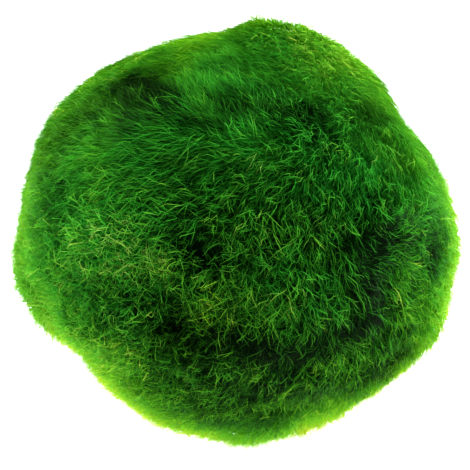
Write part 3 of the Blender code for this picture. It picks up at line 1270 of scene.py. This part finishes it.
# %% Grow the fuzz and the strays
total += grow(
    "fuzz",
    Density=24000 / room(-1),
    Crowding=-1.0,
    Seed=41,
    Points=2,
    Forked=False,
    Thickness=0.045 * MM,
    Start=0.5,
    Lift=1.9,
    Reach=1.6 * MM,
    Swing=40.0,
    Gloom=0.5,
    Tone_shift=0.06,
)
total += grow(
    "strays",
    Density=500 / room(0),
    Seed=31,
    Points=5,
    Forked=False,
    Thickness=0.085 * MM,
    Reach=1.6 * MM,
    Start=0.0,
    Lift=1.6,
    Swing=50.0,
    Gathering=0.0,
    Wave=1.2 * MM,
    Waves=2.0,
    Tone_shift=0.16,
)
print("coat:", total, "triangles")

# %% [markdown]
# ## The mat itself
# The mat is a piece of its own under the coat, so no light leaks through between the roots.

# %% Finish the mat
mat = bpy.data.objects.new("mat", mat_mesh)
bpy.context.scene.collection.objects.link(mat)
mat_mesh.materials.append(mat_finish)
put_on(mat)
print("mat:", mat_mesh.materials[0].name)

# %% [markdown]
# ## Camera
# The ball is seen from the front, from 35 degrees above the surface, and it almost fills the
# frame. A long lens from near by shows it as a shop photograph would.

# %% Camera
CAMERA_ELEVATION = 35
CAMERA_DISTANCE = 147 * MM
LENS = 100  # on a sensor 36 wide, both in millimetres
SENSOR = 36
AIM = Vector((-0.2 * MM, -0.9 * MM, 20.3 * MM))

lens = bpy.data.cameras.new("camera")
lens.lens = LENS
lens.sensor_width = SENSOR
lens.clip_start = MM
camera = bpy.data.objects.new("camera", lens)
bpy.context.scene.collection.objects.link(camera)
view_from = facing(0, CAMERA_ELEVATION)
camera.location = AIM + view_from * CAMERA_DISTANCE
camera.rotation_euler = (-view_from).to_track_quat("-Z", "Y").to_euler()
bpy.context.scene.camera = camera
print("camera:", [round(c / MM) for c in camera.location], "mm")

# %% [markdown]
# ## Surface and light
# The ball lies on a white light table. The table lights it from below, which makes the lower edge
# glow, and painted glow in the coat's colour adds to that. A soft box above and behind it lights
# the top, and two smaller ones behind it make its sides glow, with painted glow there too. The
# side that faces the camera gets the least light, and painted shade darkens it further, so it
# shows the deepest greens. The ball's pale and dark places, partly growth and partly painted light
# and shade, add to all of this.

# %% The light table
TABLE_WIDTH = 3.0
TABLE_WHITE = (0.9, 0.9, 0.9, 1)
TABLE_ROUGHNESS = 0.9
WINDOW_RADIUS = 30 * MM  # the table is brightest under the ball, out to here,
WINDOW_EDGE = 55 * MM  # and fades to a plain white here
WINDOW_GLOW = 1.95
TABLE_GLOW = 1.2


def table_material():
    """White, and lit from inside, most of all in the middle."""
    material, w, output = new_material("light_table")
    place = w.node("ShaderNodeTexCoord").outputs["Object"]
    away = w.node("ShaderNodeVectorMath", {0: place}, operation="LENGTH").outputs["Value"]
    inputs = {
        "Value": away,
        "From Min": WINDOW_RADIUS,
        "From Max": WINDOW_EDGE,
        "To Min": WINDOW_GLOW,
        "To Max": TABLE_GLOW,
    }
    glow = w.first("ShaderNodeMapRange", inputs, interpolation_type="SMOOTHSTEP")
    surface = w.first(
        "ShaderNodeBsdfPrincipled",
        {
            "Base Color": TABLE_WHITE,
            "Roughness": TABLE_ROUGHNESS,
            "Emission Color": (1, 1, 1, 1),
            "Emission Strength": glow,
        },
    )
    w.feed(output.inputs["Surface"], surface)
    return material


def add_table():
    """A wide flat table under the ball."""
    bm = bmesh.new()
    bmesh.ops.create_grid(bm, x_segments=1, y_segments=1, size=TABLE_WIDTH / 2)
    mesh = bpy.data.meshes.new("table")
    bm.to_mesh(mesh)
    bm.free()
    mesh.materials.append(table_material())
    table = bpy.data.objects.new("table", mesh)
    bpy.context.scene.collection.objects.link(table)
    table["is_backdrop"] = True


add_table()
print("table:", TABLE_WIDTH, "m wide")

# %% Soft boxes and the light of the room
BOX_DISTANCE = 0.45
# name, azimuth, elevation, width and watts
SOFTBOXES = [
    ("top_back", 160, 66, 0.30, 3.0),
    ("left_back", -118, 14, 0.25, 1.7),
    ("right_back", 118, 14, 0.25, 2.2),
]
ROOM_LIGHT = 0.39


def add_softbox(name, azimuth, elevation, width, watts):
    """A square soft light that points at the ball."""
    light = bpy.data.lights.new(name, "AREA")
    light.size = width
    light.energy = watts
    lamp = bpy.data.objects.new(name, light)
    bpy.context.scene.collection.objects.link(lamp)
    toward = facing(azimuth, elevation)
    lamp.location = MIDDLE + toward * BOX_DISTANCE
    lamp.rotation_euler = toward.to_track_quat("Z", "Y").to_euler()


for box in SOFTBOXES:
    add_softbox(*box)

world = bpy.data.worlds.new("studio")
world.use_nodes = True
background = world.node_tree.nodes["Background"]
background.inputs["Color"].default_value = (1, 1, 1, 1)
background.inputs["Strength"].default_value = ROOM_LIGHT
bpy.context.scene.world = world
bpy.context.scene.view_settings.view_transform = "Standard"
print("soft boxes:", len(SOFTBOXES))

# %% [markdown]
# ## Size
# The sizes of the finished coat and of the solid are printed. The coat may stand a little proud,
# no more.

# %% Print the sizes and finish
coat_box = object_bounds()
boxes = {"solid": [list(p) for p in solid_box], "visual": [list(p) for p in coat_box]}
for name, (least, most) in boxes.items():
    print(name, [round((b - a) / MM, 2) for a, b in zip(least, most)], "mm")
